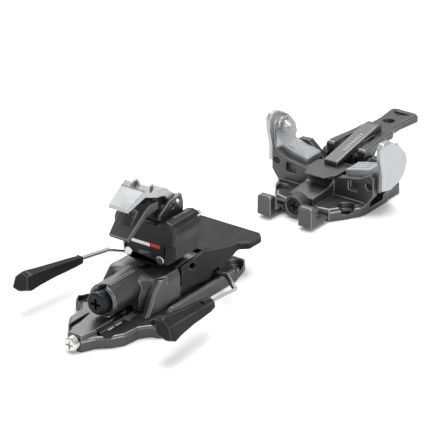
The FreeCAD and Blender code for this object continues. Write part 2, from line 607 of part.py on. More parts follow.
def jaw(side, word):
    stud = new_body(f"jaw_stud_{word}")
    rod(stud, (f"{side}*stud_x", "turret_rear-0.5", "stud_z"), "y", "stud_r", "turret_front-turret_rear")
    dress(stud, "Fillet", "break_small", lambda e: e.BoundBox.YMax < size("turret_rear"))
    body = new_body(f"pin_jaw_{word}")
    shape = [("stud_x-jaw_half*0.9", "stud_z"), ("stud_x+jaw_half*0.9", "stud_z"),
             ("stud_x+jaw_half+0.6", "tie_z"),
             ("pin_x+jaw_head*0.9", "pin_z-1"), ("pin_x-jaw_head*0.9", "pin_z-1"),
             ("stud_x-jaw_half+2.2", "tie_z")]
    if side < 0:
        shape = [(f"-({a})", b) for a, b in shape]
    pad(body, "front", shape, "jaw_rear", "jaw_rear+jaw_thick")
    rod(body, (f"{side}*stud_x", "jaw_rear", "stud_z"), "y", "jaw_half", "jaw_thick")
    rod(body, (f"{side}*pin_x", "jaw_rear", "pin_z-1"), "y", "jaw_head", "jaw_thick")
    rod(body, (f"{side}*stud_x", "jaw_rear-1", "stud_z"), "y", "stud_r+run", "jaw_thick+2", cut=True)
    rod(body, (f"{side}*pin_x", "jaw_rear-1", "pin_z"), "y", "pin_r-1", "jaw_thick+2", cut=True)
    if side < 0:
        rod(body, ("-pin_x-8", "jaw_rear+jaw_thick/2", "tie_z"), "x", "tie_r+tie_play", "pin_x+6", cut=True)
    pin = new_body(f"heel_pin_{word}")
    rod(pin, (f"{side}*pin_x", "jaw_rear+0.4", "pin_z"), "y", "pin_r-1", "jaw_thick")
    # relieved where it passes the front plate's slot
    rod(pin, (f"{side}*pin_x", "jaw_rear+jaw_thick", "pin_z"), "y", "pin_r-pin_relief",
        "turret_front+slide_gap-jaw_rear-jaw_thick")
    rod(pin, (f"{side}*pin_x", "turret_front+slide_gap", "pin_z"), "y", "pin_r",
        "pin_tip-turret_front-slide_gap")
    dress(pin, "Fillet", "pin_r*0.6", lambda e: e.BoundBox.YMin > size("pin_tip") - 1e-3)


# ---------------------------------------------------------------- flaps
def flap_bracket():
    body = new_body("flap_bracket")
    side_view = [("bracket_rear", "turret_top"), ("bracket_rear", "turret_top+4"), ("0", "bracket_top"),
                 ("hinge_y+3", "bracket_top+0.9"), ("hinge_y+4.6", "hinge_z-1.5"),
                 ("hinge_y+4.6", "turret_top")]
    pad(body, "side", side_view, "-bracket_half", "bracket_half")
    box(body, ("-bracket_slot", "bracket_rear-1", "turret_top+bracket_floor"),
        ("bracket_slot", "hinge_y+6", "bracket_top+3"), cut=True)
    box(body, ("-bracket_slot", "hinge_y-2", "turret_top-1"), ("bracket_slot", "hinge_y+6",
                                                               "bracket_top+3"), cut=True)
    rod(body, ("-bracket_half-1", "hinge_y", "hinge_z"), "x", "hinge_r+run", "2*bracket_half+2", cut=True)
    rod(body, ("-bracket_half-1", "hinge_y-4.8", "hinge_z-1.4"), "x", "hinge_r-0.2", "2*bracket_half+2",
        cut=True)
    pin = new_body("flap_hinge_pin")
    rod(pin, ("-bracket_half+0.2", "hinge_y", "hinge_z"), "x", "hinge_r", "2*bracket_half-0.4")
    dress(pin, "Chamfer", "break_small", lambda e: abs(e.BoundBox.XLength) < 1e-4)


def lower_flap():
    body = new_body("lower_flap")
    neck = [("hinge_y-1", "hinge_z-lug_r*0.9"), ("hinge_y+1", "hinge_z+lug_r*0.9"), ("-9.5", "61.3"),
            ("-9.5", "57.2")]
    pad(body, "side", neck, "-lower_neck", "lower_neck")
    rod(body, ("-lower_neck", "hinge_y", "hinge_z"), "x", "lug_r", "2*lower_neck")
    plate = [("-9", "57.2"), ("-9", "61.3"), ("-16", "62"), ("-20", "60"), ("flap_end", "48.6"),
             ("flap_end+1.2", "46.6"),
             ("-19.5", "56"), ("-12", "57")]
    pad(body, "side", plate, "-flap_half", "flap_half")
    taper(body, "46")
    pocket(body, "top", [("-3.4", "-27.5"), ("3.4", "-27.5"), ("2.6", "-20.6"), ("-2.6", "-20.6")], "40",
           "70")
    rod(body, ("-lower_neck-1", "hinge_y", "hinge_z"), "x", "hinge_r+run", "2*lower_neck+2", cut=True)
    for x in ("-4.6", "4.6"):
        rod(body, (x, "-13", "61.2"), "z", "1.55", "3", cut=True)


def taper(body, low):
    """Narrow a flap towards its rear edge."""
    for side in (1, -1):
        wedge = [(f"{side}*flap_rear_half", "flap_end-2"), (f"{side}*(flap_half+3)", "flap_end-2"),
                 (f"{side}*(flap_half+3)", "-17"), (f"{side}*flap_half", "-20")]
        pocket(body, "top", wedge, low, "80")


def flap_magnets():
    item = doc.addObject("Part::Compound", "flap_magnets")
    item.Label = "flap_magnets"
    links = []
    for x in ("-4.6", "4.6"):
        disc = doc.addObject("Part::Cylinder", "Disc")
        bind(disc, "Radius", "hinge_r")
        disc.Height = 0.8
        bind(disc, "Placement.Base.x", x)
        bind(disc, "Placement.Base.y", "0-13")
        bind(disc, "Placement.Base.z", "61.22")
        links.append(disc)
    item.Links = links
    NODES.append(item)


def upper_flap():
    body = new_body("upper_flap")
    for start, end in (("lower_neck+0.3", "flap_neck"), ("-flap_neck", "-lower_neck-0.3")):
        neck = [("hinge_y-1.8", "hinge_z-lug_r*0.7"), ("hinge_y+2.2", "hinge_z+lug_r*0.5"), ("0.5", "64.9"),
                ("-9", "66.6"), ("-9", "62.8"), ("-1.4", "61.2")]
        pad(body, "side", neck, start, end)
        rod(body, (start, "hinge_y", "hinge_z"), "x", "lug_r", f"({end})-({start})")
        if start.startswith("lower"):
            web = [("0.5", "64.9"), ("-9.5", "66.7"), ("-9.5", "63.6"), ("-0.9", "62")]
            pad(body, "side", web, "-flap_neck", "flap_neck")
    plate = [("-8.6", "63.2"), ("-8.6", "66.6"), ("-12", "67.6"), ("-20.4", "71"), ("flap_end", "65"),
             ("flap_end+0.6", "62.8"), ("-20", "67.4"), ("-12", "64.4")]
    pad(body, "side", plate, "-flap_half", "flap_half")
    taper(body, "60")
    for start, end in (("knuckle_in", "flap_half"), ("-flap_half", "-knuckle_in")):
        knuckle = [("-9.6", "66"), ("-11", "70.5"), ("-12.6", "72.8"), ("-17", "73"), ("-20.2", "71"),
                   ("-20", "68"),
                   ("-12", "65.5")]
        pad(body, "side", knuckle, start, end)
    rod(body, ("-flap_half-1", "knuckle_y", "knuckle_z"), "x", "knuckle_hole_r", "2*flap_half+2", cut=True)
    rod(body, ("-flap_neck-1", "hinge_y", "hinge_z"), "x", "hinge_r+run", "2*flap_neck+2", cut=True)


# ---------------------------------------------------------------- toe unit
def toe_base():
    body = new_body("toe_base")
    front_wall = "wall_rear+2*wall_thick+wing_deep"
    half = [("12", "toe_rear"), ("18", "toe_rear+1"), ("28.2", "toe_rear+16.4"), ("toe_waist", "wall_rear"),
            ("toe_waist", front_wall), ("toe_half", f"{front_wall}+2"), ("toe_half", "toe_front-6"),
            ("toe_half-4", "toe_front"), ("13", "toe_front"), ("8", "toe_front-6")]
    pad(body, "top", both(half), "0", "toe_thick")
    dress(body, "Chamfer", "break_big",
          lambda e: level(size("toe_thick"))(e) and abs(e.BoundBox.Center.x) > 14)
    rear = [("toe_waist", "2"), ("toe_waist", "toe_thick-1"), ("wall_half", "toe_thick+5"),
            ("wall_half", "22.6"), ("wall_half-2.6", "24.2"), ("25", "20.8"), ("9", "17.8")]
    pad(body, "front", both(rear), "wall_rear", "wall_rear+wall_thick")
    front = [("toe_waist", "2"), ("toe_waist", "toe_thick-1"), ("wall_half", "toe_thick+5"),
             ("wall_half", "20"), ("28", "25.4"), ("21", "26"), ("14", "20"), ("9", "16")]
    inner = "wall_rear+wall_thick+wing_deep"
    pad(body, "front", both(front), inner, f"{inner}+wall_thick")
    # central saddle behind the wall, and a gusset on each side of it
    saddle = [("toe_rear", "2"), ("toe_rear", "11.5"), ("wall_rear-4", "13"), ("wall_rear+1", "16.5"),
              ("wall_rear+1", "2")]
    pad(body, "side", saddle, "-8", "8")
    for side in (1, -1):
        near = f"{side}*lever_hub+{side}*0.3"
        ear = [("lever_y-5", "2"), ("lever_y-5", "lever_z+2"), ("lever_y-2.5", "lever_z+4.4"),
               ("lever_y+2.5", "lever_z+4.4"), ("lever_y+5", "lever_z+2"), ("lever_y+5", "2")]
        low = "lever_hub+0.3" if side > 0 else "-lever_hub-4.3"
        high = "lever_hub+4.3" if side > 0 else "-lever_hub-0.3"
        pad(body, "side", ear, low, high)
    # the wing well between the walls
    box(body, ("-wall_half-6", "wall_rear+wall_thick", "3"), ("wall_half+6", inner, "toe_thick+1"),
        cut=True)
    # windows in the rear wall beside each pivot
    for side in (1, -1):
        start = "17.5" if side > 0 else "-24"
        end = "24" if side > 0 else "-17.5"
        box(body, (start, "wall_rear-1", "12.5"), (end, "wall_rear+2.4", "18"), cut=True)
        rod(body, (f"{side}*wing_x", "wall_rear-1", "wing_z"), "y", "wing_pin_r+run",
            "wing_deep+2*wall_thick+2", cut=True)
        for x, y in (("toe_bolt_x", "toe_bolt_y"), ("toe_front_bolt_x", "toe_front_bolt_y")):
            rod(body, (f"{side}*{x}", y, "-1"), "z", "bolt_r", "toe_thick+2", cut=True)
            rod(body, (f"{side}*{x}", y, "bolt_seat"), "z", "bolt_head_r", "toe_thick", cut=True)
    rod(body, ("-lever_hub-6", "lever_y", "lever_z"), "x", "lever_pin_r+run", "2*lever_hub+12", cut=True)
    rod(body, ("0", "toe_rear", "receiver_z"), "y", "bolt_r", "wall_rear-toe_rear-4", cut=True)


def toe_pins():
    for side, word in ((1, "right"), (-1, "left")):
        pin = new_body(f"wing_pivot_pin_{word}")
        rod(pin, (f"{side}*wing_x", "wall_rear+0.1", "wing_z"), "y", "wing_pin_r",
            "wing_deep+2*wall_thick-0.2")
        dress(pin, "Chamfer", "break_small", lambda e: abs(e.BoundBox.YLength) < 1e-4)
        start = 5 if side > 0 else -25
        coil(f"toe_spring_{word}", (start, size("wall_rear") + 11, size("toe_spring_z")), (1, 0, 0), 20,
             size("toe_spring_r"), 1.1, 9)
    pin = new_body("lever_pivot_pin")
    rod(pin, ("-lever_hub-4", "lever_y", "lever_z"), "x", "lever_pin_r", "2*lever_hub+8")
    dress(pin, "Chamfer", "break_small", lambda e: abs(e.BoundBox.XLength) < 1e-4)


def toe_wing(side, word):
    body = new_body(f"toe_wing_{word}")

    def mirrored(points):
        return points if side > 0 else [(f"-({a})", b) for a, b in points]

    low = "wall_rear+wall_thick+0.25"
    high = "wall_rear+wall_thick+wing_deep-0.25"
    arm = [("wing_end", "17.4"), ("wing_end", "21.6"), ("28.5", "25.6"), ("33.4", "29.6"), ("34.5", "31"),
           ("34.6", "38"), ("skin_out", "40"),
           ("skin_out", "16"), ("34.6", "12.8"), ("28", "12.8"), ("24.5", "16.8")]
    pad(body, "front", mirrored(arm), low, high)
    skin = [("-9", "15"), ("-9", "24"), ("-12", "35"), ("-12", "41"), ("-9.4", "43.6"), ("-3", "43.4"),
            ("6", "38.4"),
            ("13.4", "31"), ("15", "25"), ("12", "19"), ("8", "15.4"), ("-2", "13.6")]
    start = "skin_in" if side > 0 else "-skin_out"
    end = "skin_out" if side > 0 else "-skin_in"
    pad(body, "side", skin, start, end)
    hub = f"{start}-0.8" if side > 0 else start
    rod(body, (hub, "0", "toe_pin_z"), "x", "toe_pin_r+1.6", "skin_out-skin_in+0.8")
    dress(body, "Chamfer", "break_edge", lambda e: abs(abs(e.BoundBox.XMin) - size("skin_out")) < 1e-3
          and abs(abs(e.BoundBox.XMax) - size("skin_out")) < 1e-3)
    for place in ("3", "6.4", "9.8"):
        groove = [("13.5", "21.4"), ("27", "24.6"), ("27", "27"), ("13.5", "23")]
        pocket(body, "front", mirrored(groove), f"{low}+{place}-0.8", f"{low}+{place}+0.8")
    rod(body, (f"{side}*wing_x", "wall_rear", "wing_z"), "y", "wing_pin_r+run", "wing_deep+10", cut=True)
    bore = "skin_in-2" if side > 0 else "-skin_in-2"
    rod(body, (bore, "0", "toe_pin_z"), "x", "toe_pin_r-1", "4", cut=True)
    pin = new_body(f"toe_pin_{word}")
    # pointed pin whose shank is pressed in the wing
    shank = "toe_tip+4.6" if side > 0 else "-toe_tip-7"
    rod(pin, (shank, "0", "toe_pin_z"), "x", "toe_pin_r-1", "2.4")
    if side > 0:
        rod(pin, ("toe_tip+2.6", "0", "toe_pin_z"), "x", "toe_pin_r", "skin_in-0.8-toe_tip-2.6")
        cone(pin, ("toe_tip", "0", "toe_pin_z"), "x", "0.9", "toe_pin_r-0.4", "2.7")
    else:
        rod(pin, ("0.8-skin_in", "0", "toe_pin_z"), "x", "toe_pin_r", "skin_in-0.8-toe_tip-2.6")
        cone(pin, ("-toe_tip-2.7", "0", "toe_pin_z"), "x", "toe_pin_r-0.4", "0.9", "2.7")


def toe_lever():
    body = new_body("toe_lever")
    half = [("7", "11"), ("lever_hub+1", "11"), ("lever_hub+1.4", "16"), ("lever_hub-0.2", "27"),
            ("10.6", "37"),
            ("10.6", "43"), ("7.6", "49"), ("7.4", "57"), ("9.2", "lever_tip-2"), ("7", "lever_tip")]
    pad(body, "top", both(half), "lever_low", "lever_low+lever_thick")
    dress(body, "Chamfer", "break_edge", level(size("lever_low") + size("lever_thick")))
    hub = [("lever_y-4", "lever_z-2"), ("lever_y-4", "lever_low+1"), ("lever_y+9", "lever_low+1"),
           ("lever_y+3", "lever_z-3.4")]
    pad(body, "side", hub, "-lever_hub", "lever_hub")
    for side in (1, -1):
        # each arm stands free of the bar, with a slot that opens to the rear
        opening = [(f"{side}*(bar_half+0.3)", "6"), (f"{side}*7.9", "6"), (f"{side}*7.9", "22"),
                   (f"{side}*7", "29"), (f"{side}*(bar_half+0.3)", "34")]
        pocket(body, "top", opening, "lever_low-8", "lever_low+8")
    pocket(body, "top", both([("bar_half+0.3", "3"), ("bar_half+0.3", "20.8")]), "lever_low-0.2",
           "lever_low+8")
    rod(body, ("0", "lever_hole_y", "lever_low-1"), "z", "lever_hole_r", "lever_thick+2", cut=True)
    pocket(body, "top", [("-6", "lever_tip-4"), ("6", "lever_tip-4"), ("0", "lever_tip-10")],
           "lever_low+2.2", "lever_low+8")
    rod(body, ("-lever_hub-1", "lever_y", "lever_z"), "x", "lever_pin_r+run", "2*lever_hub+2", cut=True)
    bar = new_body("lever_bar")
    top = "lever_low+lever_thick"
    side_view = [("-4", "19.6"), ("-4", "22.4"), ("37", f"{top}+4.4"), ("41", f"{top}+3.6"),
                 ("41", f"{top}+0.05"),
                 ("20.6", f"{top}+0.05"), ("20.6", "23.2"), ("4", "20.6")]
    pad(bar, "side", side_view, "-bar_half", "bar_half")
    dress(bar, "Chamfer", "break_small", lambda e: e.BoundBox.XLength < 1e-3 and e.BoundBox.YLength > 38)
    rocker = new_body("lever_rocker")
    plan = [("6", "-20"), ("rocker_half", "-12"), ("rocker_half", "-1"), ("bar_half+1", "4")]
    pad(rocker, "top", both(plan), "18.5", "19.55")


def crampon_receiver():
    body = new_body("crampon_receiver")
    rod(body, ("0", "toe_rear-receiver_in-6", "receiver_z"), "y", "receiver_r", "receiver_in+6")
    for side in (1, -1):
        low_x = "hook_x-hook_half" if side > 0 else "-hook_x-hook_half"
        high_x = "hook_x+hook_half" if side > 0 else "-hook_x+hook_half"
        box(body, (low_x, "toe_rear-hook_back", "hook_low"), (high_x, "toe_rear-hook_back+hook_long",
                                                              "hook_top"))
        box(body, (low_x, "toe_rear-hook_back", "arm_low"), (high_x, "toe_rear", "arm_low+2.4"))
        web = "0" if side > 0 else "-hook_x"
        box(body, (web, "toe_rear-web_deep", "arm_low"), (f"({web})+hook_x", "toe_rear", "arm_high"))
    dress(body, "Chamfer", "break_edge", level(size("hook_top")))
    rod(body, ("0", "toe_rear-receiver_in-8", "receiver_z"), "y", "bolt_r", "12", cut=True)
    rod(body, ("0", "toe_rear-receiver_in-8", "receiver_z"), "y", "receiver_screw_r+0.1", "4.6", cut=True)
    screw = new_body("crampon_receiver_screw")
    rod(screw, ("0", "toe_rear-receiver_in-5.4", "receiver_z"), "y", "receiver_screw_r", "2")
    rod(screw, ("0", "toe_rear-receiver_in-4", "receiver_z"), "y", "bolt_r-0.3", "16")
    for length, width in (("receiver_screw_r*1.1", "1.2"), ("1.2", "receiver_screw_r*1.1")):
        box(screw, (f"-({length})/2", "toe_rear-receiver_in-7", f"receiver_z-({width})/2"),
            (f"({length})/2", "toe_rear-receiver_in-4.2", f"receiver_z+({width})/2"), cut=True)


def build():
    heel_base_plate()
    length_screw()
    screw_retaining_ring()
    heel_carriage()
    turret_spindle()
    lateral_release()
    brake_pedal()
    brake_pins()
    for side, word in ((1, "right"), (-1, "left")):
        brake_wire(f"brake_wire_{word}", side)
        brake_shoe(f"brake_shoe_{word}", side)
    turret_housing()
    turret_front_plate()
    turret_inner()
    for side, word in ((1, "right"), (-1, "left")):
        jaw(side, word)
    flap_bracket()
    lower_flap()
    flap_magnets()
    upper_flap()
    heel_count = len(NODES)
    toe_base()
    toe_pins()
    for side, word in ((1, "right"), (-1, "left")):
        toe_wing(side, word)
    toe_lever()
    crampon_receiver()
    for node in NODES[heel_count:]:
        node.Placement = FreeCAD.Placement(V(0, size("toe_at"), 0),
                                           FreeCAD.Rotation()).multiply(node.Placement)


def check_and_write():
    doc.recompute()
    failed = [item for item in doc.Objects if "Invalid" in item.State or "Error" in item.State]
    for item in failed:
        owner = item.getParentGeoFeatureGroup()
        print("failed:", item.Name, "of", owner.Label if owner else "the document")
    if failed:
        raise RuntimeError(f"{len(failed)} features failed")
    os.makedirs("parts", exist_ok=True)
    # the pieces are drawn about the turret's axis; the frame's origin is between the heel's rear bolts
    shift = FreeCAD.Placement(V(0, -size("ear_y"), 0), FreeCAD.Rotation())
    for node in NODES:
        node.Placement = shift.multiply(node.Placement)
        shape = node.Shape
        if shape.isNull() or not shape.isValid():
            raise RuntimeError(f"{node.Label} has no valid shape")
        shape.exportStep(os.path.join("parts", node.Label + ".step"))
        print(node.Label, len(shape.Solids), round(shape.Volume, 1))


build()
check_and_write()
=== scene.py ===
"""Touring ski binding: finishes, broken edges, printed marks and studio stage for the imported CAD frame."""

import math

import bmesh
import bpy
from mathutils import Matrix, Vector
from mathutils.bvhtree import BVHTree


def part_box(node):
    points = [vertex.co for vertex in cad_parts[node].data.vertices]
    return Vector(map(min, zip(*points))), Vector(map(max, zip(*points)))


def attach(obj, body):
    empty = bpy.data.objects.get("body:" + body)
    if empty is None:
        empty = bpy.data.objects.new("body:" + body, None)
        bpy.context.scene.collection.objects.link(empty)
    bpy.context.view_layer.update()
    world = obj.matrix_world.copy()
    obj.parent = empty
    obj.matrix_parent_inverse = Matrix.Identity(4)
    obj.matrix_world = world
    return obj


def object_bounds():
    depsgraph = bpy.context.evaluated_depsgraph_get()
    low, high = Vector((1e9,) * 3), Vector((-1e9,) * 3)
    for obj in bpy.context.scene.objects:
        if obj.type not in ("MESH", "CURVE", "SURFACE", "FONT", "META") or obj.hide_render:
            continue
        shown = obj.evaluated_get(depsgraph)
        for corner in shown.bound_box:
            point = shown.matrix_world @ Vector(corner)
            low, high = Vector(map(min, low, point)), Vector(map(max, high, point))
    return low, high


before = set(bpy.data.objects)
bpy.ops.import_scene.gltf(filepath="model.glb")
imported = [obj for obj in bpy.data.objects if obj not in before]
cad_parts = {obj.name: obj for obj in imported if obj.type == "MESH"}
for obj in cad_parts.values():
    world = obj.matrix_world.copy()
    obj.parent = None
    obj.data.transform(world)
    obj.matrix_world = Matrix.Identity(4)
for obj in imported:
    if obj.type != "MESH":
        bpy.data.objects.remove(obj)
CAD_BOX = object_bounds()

bl_info = {
    "name": "Touring binding finishes",
    "version": (1, 0, 0),
    "blender": (4, 5, 0),
    "location": "3D View > Sidebar > Binding",
    "description": "Gives the packed touring binding its finishes, broken edges, printed marks and studio stage",
    "category": "Object",
}

MM = 0.001

# Noise values below the first and above the second are all dark or all light in a finish.
NOISE_LOW, NOISE_HIGH = 0.3, 0.7

# Vertices closer than WELD_MM are joined, and faces within FLAT_DEGREES of each other merge,
# before the edges that turn by more than EDGE_DEGREES are broken.
WELD_MM = 0.002
FLAT_DEGREES = 1
EDGE_DEGREES = 28

# A film of print is laid on a grid of this step, with rays that start this far above the part
# and reach this far down. The shares say how much of its thickness is above and below the surface.
FILM_STEP_MM = 0.8
RAY_START_MM, RAY_REACH_MM = 4, 8
FILM_ABOVE, FILM_BELOW = 0.6, -0.4

FLOOR_HALF_WIDTH = 6.0
FLOOR_GAP_MM = 0.02
ROOM_STRENGTH = 0.75
# Softboxes: name, place and aim in metres, width in metres and power in watts.
SOFTBOXES = (
    ("overhead_softbox", (-0.1, 0.35, 1.3), (0, 0.1, 0), 1.1, 16),
    ("key_softbox", (-1.0, 0.9, 0.9), (0, 0.1, 0.03), 0.6, 9),
    ("fill_softbox", (1.3, -0.2, 0.5), (0, 0.1, 0.03), 0.7, 5),
)

LENS_MM, SENSOR_MM = 245.45, 36.0
CAMERA_TARGET = (-0.00657, 0.0933, 0.0200)
CAMERA_DISTANCE = 1.5934
CAMERA_AZIMUTH, CAMERA_ELEVATION = 36, 25

# The aluminium pieces that are milled from bar and then anodised.
DARK_ANODISED = (
    "heel_base_plate",
    "heel_carriage",
    "flap_bracket",
    "lower_flap",
    "toe_base",
    "toe_lever",
    "lever_bar",
    "lever_rocker",
    "crampon_receiver",
)
BLACK_ANODISED = ("turret_housing", "turret_front_plate")
SILVER_ANODISED = ("upper_flap", "toe_wing_right", "toe_wing_left")
MOULDED_NYLON = ("brake_pedal", "brake_shoe_right", "brake_shoe_left", "turret_spindle")
BRIGHT_STEEL = (
    "length_screw",
    "jaw_stud_right",
    "jaw_stud_left",
    "pin_jaw_right",
    "pin_jaw_left",
    "heel_pin_right",
    "heel_pin_left",
    "flap_hinge_pin",
    "pedal_pivot_pin",
    "toe_pin_right",
    "toe_pin_left",
    "flap_magnets",
)
DRAWN_WIRE = (
    "brake_wire_right",
    "brake_wire_left",
    "brake_spring",
    "lateral_spring",
    "vertical_release_spring",
    "toe_spring_right",
    "toe_spring_left",
)
BLACK_STEEL = (
    "lateral_spring_cap",
    "vertical_release_screw",
    "lateral_plunger",
    "crampon_receiver_screw",
    "screw_retaining_ring",
    "wing_pivot_pin_right",
    "wing_pivot_pin_left",
    "lever_pivot_pin",
)


def linear(hex_colour):
    """A colour written as sRGB hex, such as 3b3c3f, as linear red, green and blue."""
    parts = [int(hex_colour[i : i + 2], 16) / 255 for i in (0, 2, 4)]
    return tuple(p / 12.92 if p <= 0.04045 else ((p + 0.055) / 1.055) ** 2.4 for p in parts)


def colour_property(name, description, hex_colour):
    """One colour that a user can change, with its sRGB default."""
    return bpy.props.FloatVectorProperty(
        name=name, description=description, subtype="COLOR", size=3, min=0, max=1, default=linear(hex_colour)
    )


def length_property(name, description, millimetres):
    """One length that a user can change, kept in metres."""
    return bpy.props.FloatProperty(
        name=name, description=description, subtype="DISTANCE", unit="LENGTH", min=0, default=millimetres * MM
    )


class BindingColours(bpy.types.PropertyGroup):
    """The colours of the finishes."""

    graphite: colour_property("Graphite", "Dark anodised aluminium", "515151")
    black: colour_property("Black", "Black anodised aluminium", "2b2b2c")
    silver: colour_property("Silver", "Clear anodised aluminium", "a9aaac")
    nylon: colour_property("Nylon", "Moulded black nylon", "131314")
    steel: colour_property("Steel", "Ground and polished steel", "d6d4d0")
    oxide: colour_property("Oxide", "Black oxide steel", "2a2b2d")
    bronze: colour_property("Bronze", "Sintered bronze", "a97c42")
    lens: colour_property("Lens", "Smoked scale window", "3c3d40")
    print_white: colour_property("White print", "White pad print", "eceded")
    print_grey: colour_property("Grey print", "Grey pad print of the graduations", "9c9d9e")
    print_red: colour_property("Accent print", "Accent bar of the pad print", "c8202b")


class BindingSizes(bpy.types.PropertyGroup):
    """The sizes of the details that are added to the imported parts."""

    edge_break: length_property("Edge break", "Width of the broken edges of the machined parts", 0.35)
    mould_edge: length_property("Moulded edge", "Radius on the edges of the moulded parts", 0.45)
    print_height: length_property("Print height", "Thickness of the printed marks", 0.06)
    blast_grain: length_property("Blast grain", "Size of the dimples that bead blasting leaves", 0.25)
    cutter_pitch: length_property("Cutter pitch", "Step between the passes of the milling cutter", 0.5)
    mould_grain: length_property("Mould grain", "Size of the spark-eroded grain of the mould", 0.4)
    draw_pitch: length_property("Drawing lines", "Spacing of the fine lines along ground and drawn steel", 0.3)


def colours():
    return bpy.context.scene.binding_colours


def sizes():
    return bpy.context.scene.binding_sizes


def add_node(tree, kind, inputs=None, **settings):
    """Adds one shader node: inputs holds values, or the sockets that feed them."""
    made = tree.nodes.new(kind)
    for name, value in settings.items():
        setattr(made, name, value)
    for name, value in (inputs or {}).items():
        if isinstance(value, bpy.types.NodeSocket):
            tree.links.new(value, made.inputs[name])
        else:
            made.inputs[name].default_value = value
    return made


def new_material(name):
    """An empty node material and its tree."""
    material = bpy.data.materials.new(name)
    material.use_nodes = True
    material.node_tree.nodes.clear()
    return material, material.node_tree


def shades(colour, darker, lighter):
    """The dark and light ends of one colour's variation."""
    return [tuple(min(1, c * k) for c in colour) + (1,) for k in (darker, lighter)]


def surface(
    name, colour, spread, roughness, grain, grain_depth, stretch=(1, 1, 1), patch=9 * MM, fleck=0.25, **shader
):
    """A finish whose colour and roughness drift in patches and whose surface has a fine grain.

    spread is the darkest and lightest share of the colour, roughness its lowest and highest value,
    grain the size of the grain and grain_depth its height, both in metres, and fleck the share of
    the colour's variation that follows the grain and not the patches.
    """
    material, tree = new_material(name)
    place = add_node(tree, "ShaderNodeTexCoord").outputs["Object"]
    drift = add_node(
        tree, "ShaderNodeTexNoise",
        {"Vector": place, "Scale": 1 / patch, "Detail": 4.0, "Roughness": 0.6},
    )
    stretched = add_node(tree, "ShaderNodeMapping", {"Vector": place, "Scale": stretch})
    fine = add_node(
        tree, "ShaderNodeTexNoise",
        {"Vector": stretched.outputs["Vector"], "Scale": 1 / grain, "Detail": 2.0, "Roughness": 0.55},
    )
    speckle = add_node(
        tree, "ShaderNodeMix",
        {"Factor": fleck, "A": drift.outputs["Fac"], "B": fine.outputs["Fac"]}, data_type="FLOAT",
    )
    ramp = add_node(tree, "ShaderNodeValToRGB", {"Fac": speckle.outputs["Result"]})
    dark, light = shades(colour, *spread)
    low, high = ramp.color_ramp.elements
    low.position, low.color = NOISE_LOW, dark
    high.position, high.color = NOISE_HIGH, light
    rough = add_node(
        tree, "ShaderNodeMapRange",
        {"Value": speckle.outputs["Result"], "From Min": NOISE_LOW, "From Max": NOISE_HIGH,
         "To Min": roughness[0], "To Max": roughness[1]},
    )
    bump = add_node(
        tree, "ShaderNodeBump",
        {"Height": fine.outputs["Fac"], "Strength": 0.6, "Distance": grain_depth},
    )
    shade = add_node(
        tree, "ShaderNodeBsdfPrincipled",
        {"Base Color": ramp.outputs["Color"], "Roughness": rough.outputs["Result"],
         "Normal": bump.outputs["Normal"], **shader},
    )
    add_node(tree, "ShaderNodeOutputMaterial", {"Surface": shade.outputs["BSDF"]})
    return material


def graphite_anodised_aluminium():
    """Bead blasted and dyed dark grey: an even satin sheen, with patches that took the dye differently."""
    return surface(
        "graphite_anodised_aluminium_blasted", colours().graphite, (0.84, 1.14), (0.36, 0.5),
        sizes().blast_grain, 0.02 * MM, Metallic=0.85,
    )


def graphite_edge_highlight():
    """The same aluminium where the edge tool broke the edge, in a lighter colour: a painted highlight along the
    edge, with a little wear.
    """
    lighter = [min(1, c * 2.3) for c in colours().graphite]
    return surface(
        "graphite_anodised_aluminium_painted_highlight", lighter, (0.8, 1.25), (0.28, 0.42),
        sizes().blast_grain, 0.008 * MM, patch=5 * MM, Metallic=0.9,
    )


def black_anodised_aluminium():
    """Milled and dyed black: nearly black, with the faint passes of the cutter."""
    return surface(
        "black_anodised_aluminium_milled", colours().black, (0.8, 1.2), (0.38, 0.52),
        sizes().cutter_pitch, 0.015 * MM, stretch=(1, 0.12, 1), Metallic=0.8,
    )


def black_edge_highlight():
    """The black aluminium on its broken edges, painted grey: a painted highlight along the edge, with a little
    wear.
    """
    lighter = [min(1, c * 2.4) for c in colours().black]
    return surface(
        "black_anodised_aluminium_painted_highlight", lighter, (0.75, 1.25), (0.3, 0.45),
        sizes().blast_grain, 0.008 * MM, patch=5 * MM, Metallic=0.85,
    )


def silver_anodised_aluminium():
    """Milled and clear anodised: pale and matt, with fine lines along the cutter's passes."""
    return surface(
        "silver_anodised_aluminium_milled", colours().silver, (0.9, 1.06), (0.3, 0.44),
        sizes().cutter_pitch, 0.02 * MM, stretch=(0.1, 1, 1), Metallic=0.75,
    )


def silver_edge_highlight():
    """The bright line of a tumbled edge under clear anodising, in a lighter colour: a painted highlight along
    the edge.
    """
    lighter = [min(1, c * 1.15) for c in colours().silver]
    return surface(
        "silver_anodised_aluminium_painted_highlight", lighter, (0.95, 1.05), (0.22, 0.34),
        sizes().blast_grain, 0.005 * MM, patch=5 * MM, Metallic=0.8,
    )


def moulded_nylon():
    """Glass-filled nylon from a spark-eroded mould: a fine leathery grain and a dull sheen."""
    return surface(
        "black_nylon_moulded", colours().nylon, (0.8, 1.22), (0.55, 0.7),
        sizes().mould_grain, 0.03 * MM, IOR=1.53, **{"Specular IOR Level": 0.2},
    )


def nylon_edge_highlight():
    """The nylon's rounded edges, in a lighter colour: a painted highlight along the edge."""
    return surface(
        "black_nylon_moulded_painted_highlight", [c * 1.35 for c in colours().nylon], (0.85, 1.2), (0.34, 0.46),
        sizes().mould_grain, 0.012 * MM, patch=5 * MM, IOR=1.53,
    )


def ground_steel():
    """Hardened steel, ground and polished: bright, with very fine lines round the piece."""
    return surface(
        "bright_steel_ground", colours().steel, (0.88, 1.04), (0.16, 0.26),
        sizes().draw_pitch, 0.001 * MM, stretch=(1, 0.15, 1), patch=6 * MM, fleck=0.1, Metallic=1.0,
    )


